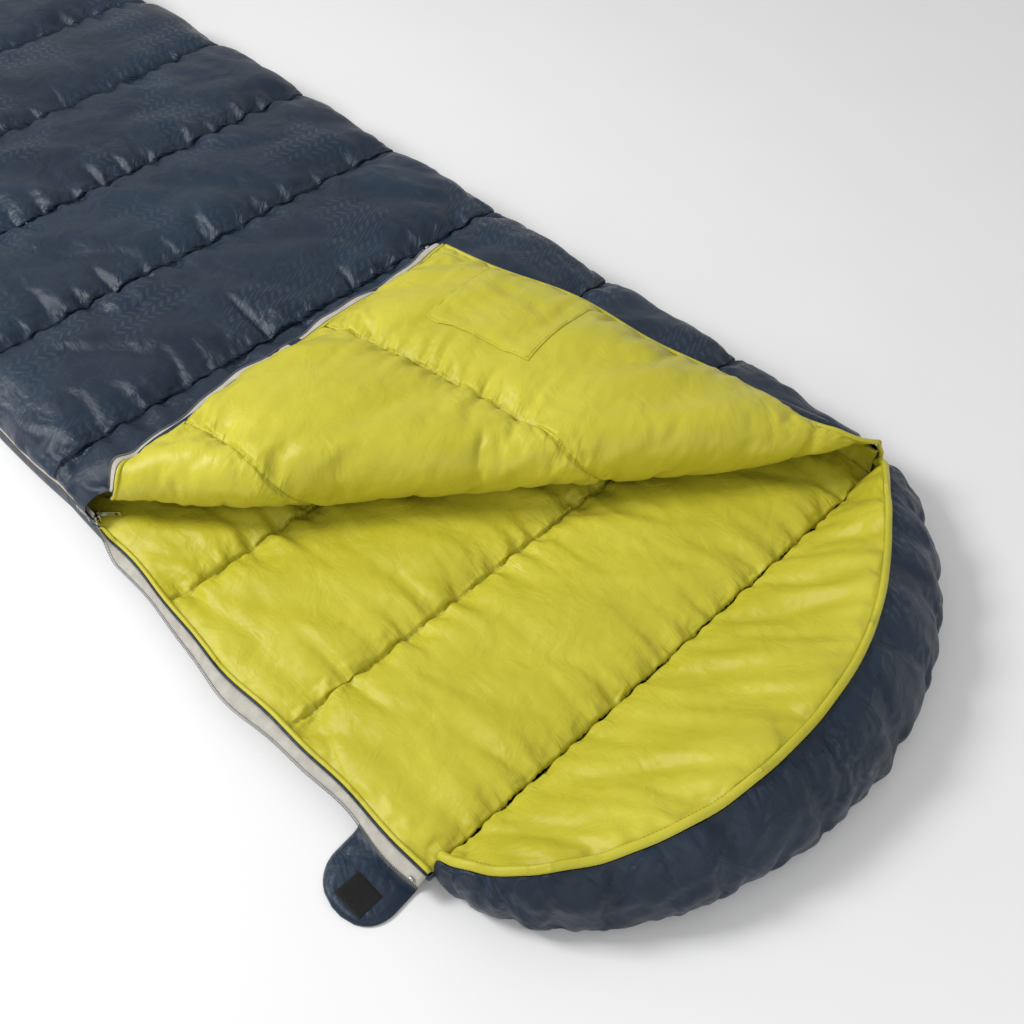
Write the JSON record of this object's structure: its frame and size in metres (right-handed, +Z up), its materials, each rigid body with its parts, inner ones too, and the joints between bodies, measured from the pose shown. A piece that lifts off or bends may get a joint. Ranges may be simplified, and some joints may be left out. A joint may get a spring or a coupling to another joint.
{
  "type": "rectangular sleeping bag with hood",
  "caption": "Quilted rectangular sleeping bag with a half-round padded hood, side zip with a two-sided slider, guard tab, inner pocket, and its cover corner folded back.",
  "frame": {"origin": "on the floor under the base's flat underside, 840 mm from the hood seam and 386 mm from the zip side", "axes": "+X across the bag towards the sewn long side, +Y towards the foot, +Z up"},
  "size_m": [0.8973, 2.205, 0.1555],
  "materials": {
    "navy_shell": "matte",
    "lime_lining": "satin",
    "fibre_fill": "matte",
    "zip_tape": "matte",
    "zip_coil": "satin",
    "zip_metal": "satin",
    "pull_metal": "satin",
    "black_patch": "matte"
  },
  "bodies": {
    "base": {"bottom_shell": "navy_shell", "bottom_fill": "fibre_fill", "bottom_lining": "lime_lining", "top_shell": "navy_shell", "top_fill": "fibre_fill", "top_lining": "lime_lining", "side_seam": "navy_shell", "foot_seam": "navy_shell", "zip_tape_lower": "zip_tape", "zip_tape_upper": "zip_tape", "zip_coil_lower": "zip_coil", "zip_coil_upper": "zip_coil", "zip_foot_stop": "zip_metal", "zip_head_stop_lower": "zip_metal"},
    "cover_flap": {"flap_shell": "navy_shell", "flap_fill": "fibre_fill", "flap_lining": "lime_lining", "inner_pocket": "lime_lining", "loop_patch": "black_patch", "zip_tape_flap": "zip_tape", "zip_coil_flap": "zip_coil", "zip_head_stop_flap": "zip_metal"},
    "hood": {"hood_floor_shell": "navy_shell", "hood_wall_shell": "navy_shell", "hood_floor_fill": "fibre_fill", "hood_wall_fill": "fibre_fill", "hood_lining": "lime_lining", "hood_rim": "lime_lining"},
    "guard": {"guard_tab": "navy_shell", "hook_patch": "black_patch"},
    "slider": {"slider_body": "zip_metal", "outer_pin": "zip_metal", "inner_pin": "zip_metal"},
    "pull_outer": {"outer_pull": "pull_metal"},
    "pull_inner": {"inner_pull": "pull_metal"}
  },
  "joints": [
    {"name": "cover_fold", "type": "hinge", "parent": "base", "child": "cover_flap", "pos_m": [-0.385, -0.198, 0.101], "axis": [0.766, -0.6428, 0], "range_deg": [0, 180]},
    {"name": "hood_fold", "type": "hinge", "parent": "base", "child": "hood", "pos_m": [0.007, -0.8405, 0.05], "axis": [-1, 0, 0], "range_deg": [0, 45]},
    {"name": "guard_fold", "type": "hinge", "parent": "base", "child": "guard", "pos_m": [-0.386, -0.783, 0.0516], "axis": [0, 1, 0], "range_deg": [0, 180]},
    {"name": "zip_slide", "type": "slide", "parent": "base", "child": "slider", "axis": [0, 1, 0], "range_m": [-0.516, 1.236]},
    {"name": "outer_pull_swing", "type": "hinge", "parent": "slider", "child": "pull_outer", "pos_m": [-0.3926, -0.187, 0.0495], "axis": [0, 0, 1], "range_deg": [0, 180]},
    {"name": "inner_pull_swing", "type": "hinge", "parent": "slider", "child": "pull_inner", "pos_m": [-0.3806, -0.187, 0.0495], "axis": [0, 0, 1], "range_deg": [-45, 135]}
  ]
}
